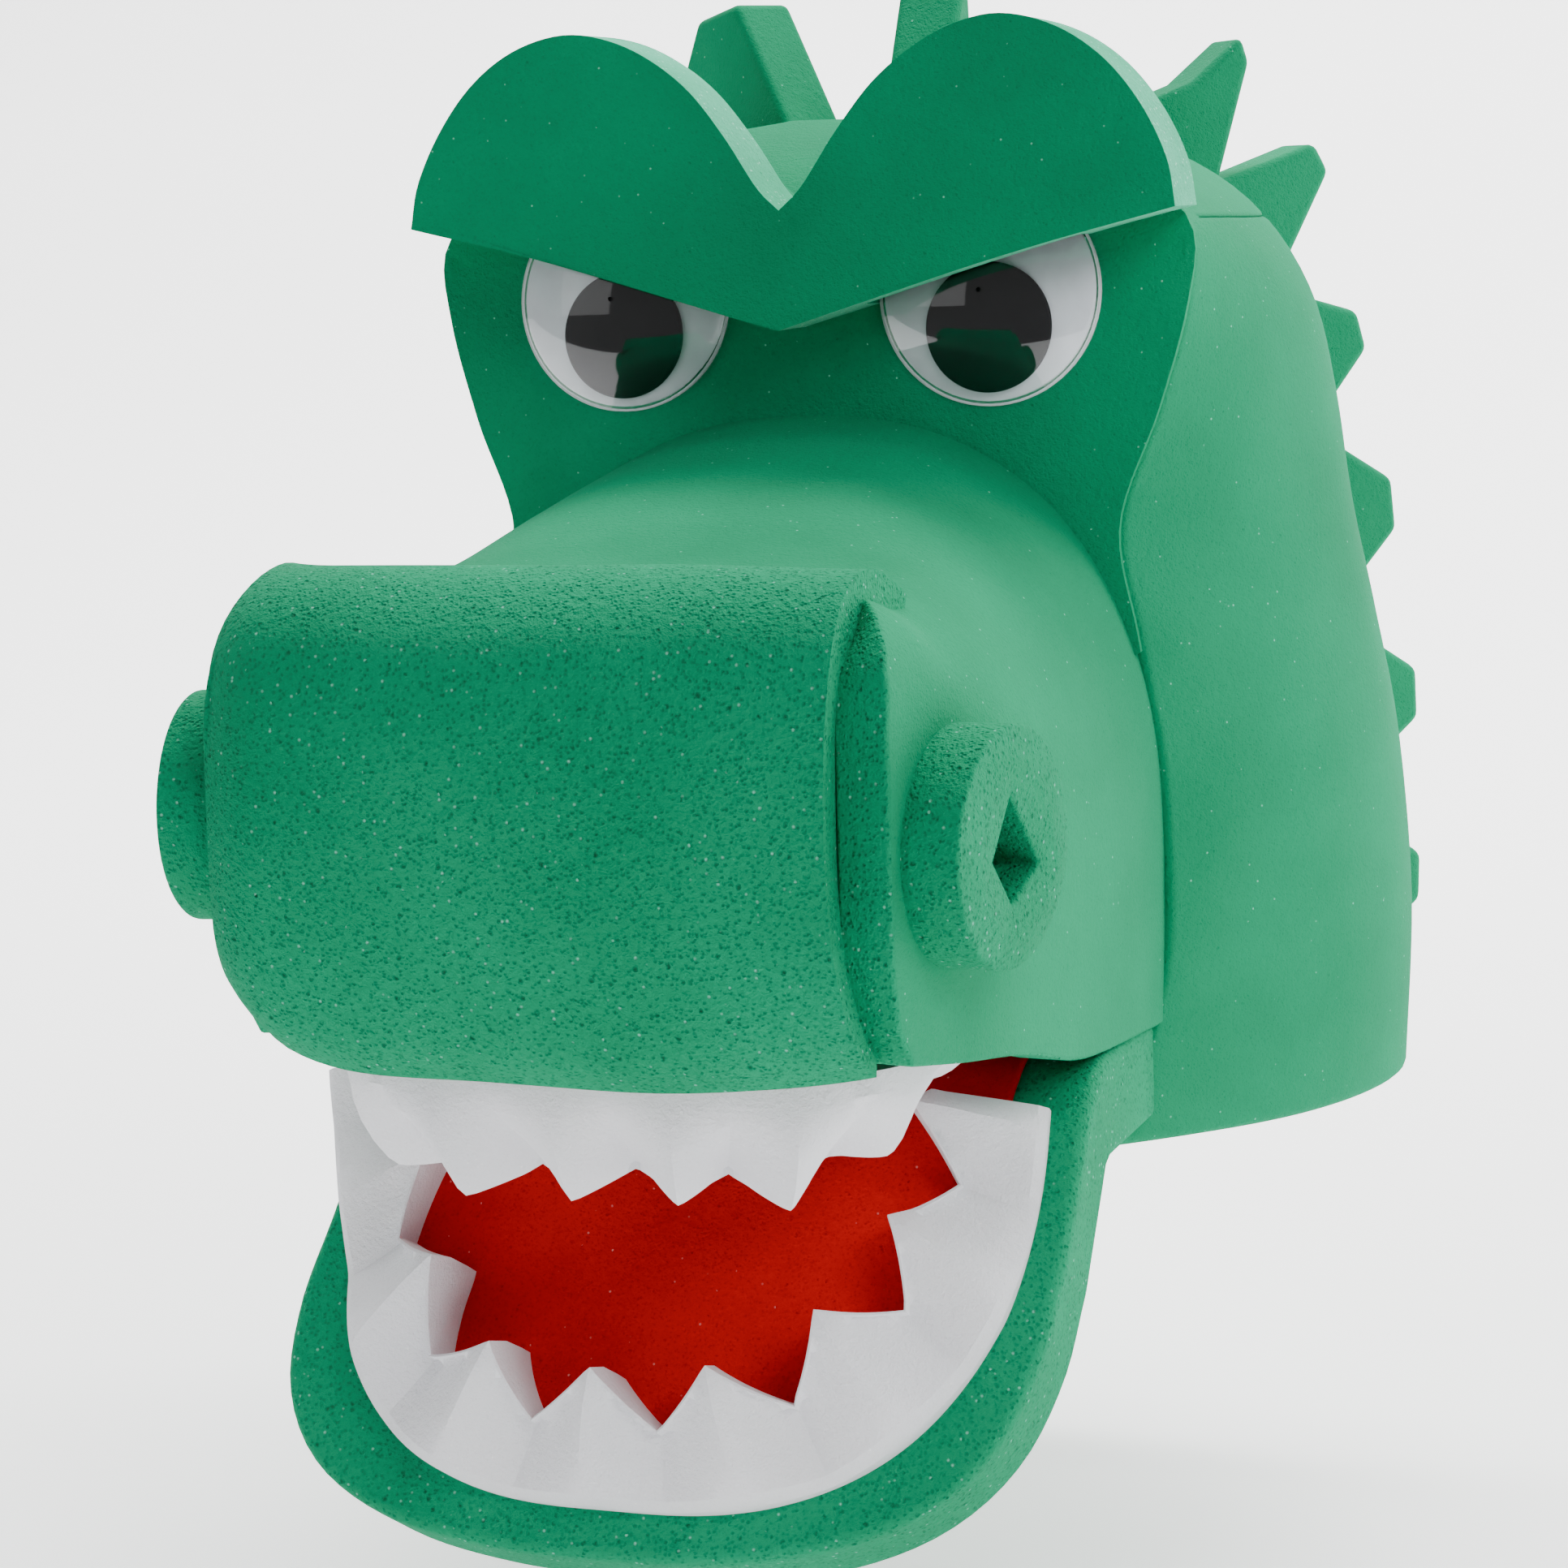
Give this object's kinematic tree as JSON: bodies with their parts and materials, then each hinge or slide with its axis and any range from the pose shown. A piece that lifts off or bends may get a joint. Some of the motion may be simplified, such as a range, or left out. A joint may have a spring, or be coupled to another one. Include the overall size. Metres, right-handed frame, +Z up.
{
  "type": "moving mouth puppet",
  "caption": "Crocodile hand puppet of glued green foam sheet with a hinged mouth, white foam teeth, red lining and wiggle eyes.",
  "frame": {"origin": "centre of the neck opening, in the plane of the neck rim", "axes": "+Z up through the head, -Y toward the snout, +X toward the puppet's own left"},
  "size_m": [0.195, 0.286, 0.2735],
  "materials": {
    "green_foam": "open-cell foam, matte",
    "white_foam": "open-cell foam, matte",
    "red_foam": "open-cell foam, matte",
    "white_plastic": "smooth white plastic",
    "clear_plastic": "clear glossy dome",
    "black_plastic": "smooth black plastic"
  },
  "bodies": {
    "head": {"hood_side_left": "green_foam", "hood_side_right": "green_foam", "hood_rear_left": "green_foam", "hood_rear_right": "green_foam", "crown_panel": "green_foam", "face_plate": "green_foam", "brow": "green_foam", "crest_left": "green_foam", "crest_centre": "green_foam", "crest_right": "green_foam", "muzzle_shell": "green_foam", "snout_pad": "green_foam", "nostril_left": "green_foam", "nostril_right": "green_foam", "throat_sheet": "green_foam", "finger_loop": "green_foam", "upper_teeth": "white_foam", "mouth_roof": "red_foam", "eye_back_left": "white_plastic", "eye_back_right": "white_plastic", "eye_dome_left": "clear_plastic", "eye_dome_right": "clear_plastic"},
    "jaw": {"jaw_slab": "green_foam", "lower_teeth": "white_foam", "mouth_floor": "red_foam", "thumb_loop": "green_foam"},
    "pupil_l": {"pupil_left": "black_plastic"},
    "pupil_r": {"pupil_right": "black_plastic"}
  },
  "joints": [
    {"name": "jaw_fold", "type": "hinge", "parent": "head", "child": "jaw", "pos_m": [0, -0.1, 0.0134], "axis": [-1, 0, 0], "range_deg": [-12, 24], "stiffness_Nm_per_rad": 0.4},
    {"name": "pupil_swing_left", "type": "hinge", "parent": "head", "child": "pupil_l", "pos_m": [0.0343, -0.05274, 0.149], "axis": [0, -0.9982, 0.0599], "continuous": true},
    {"name": "pupil_swing_right", "type": "hinge", "parent": "head", "child": "pupil_r", "pos_m": [-0.0343, -0.05274, 0.149], "axis": [0, -0.9982, 0.0599], "continuous": true}
  ]
}
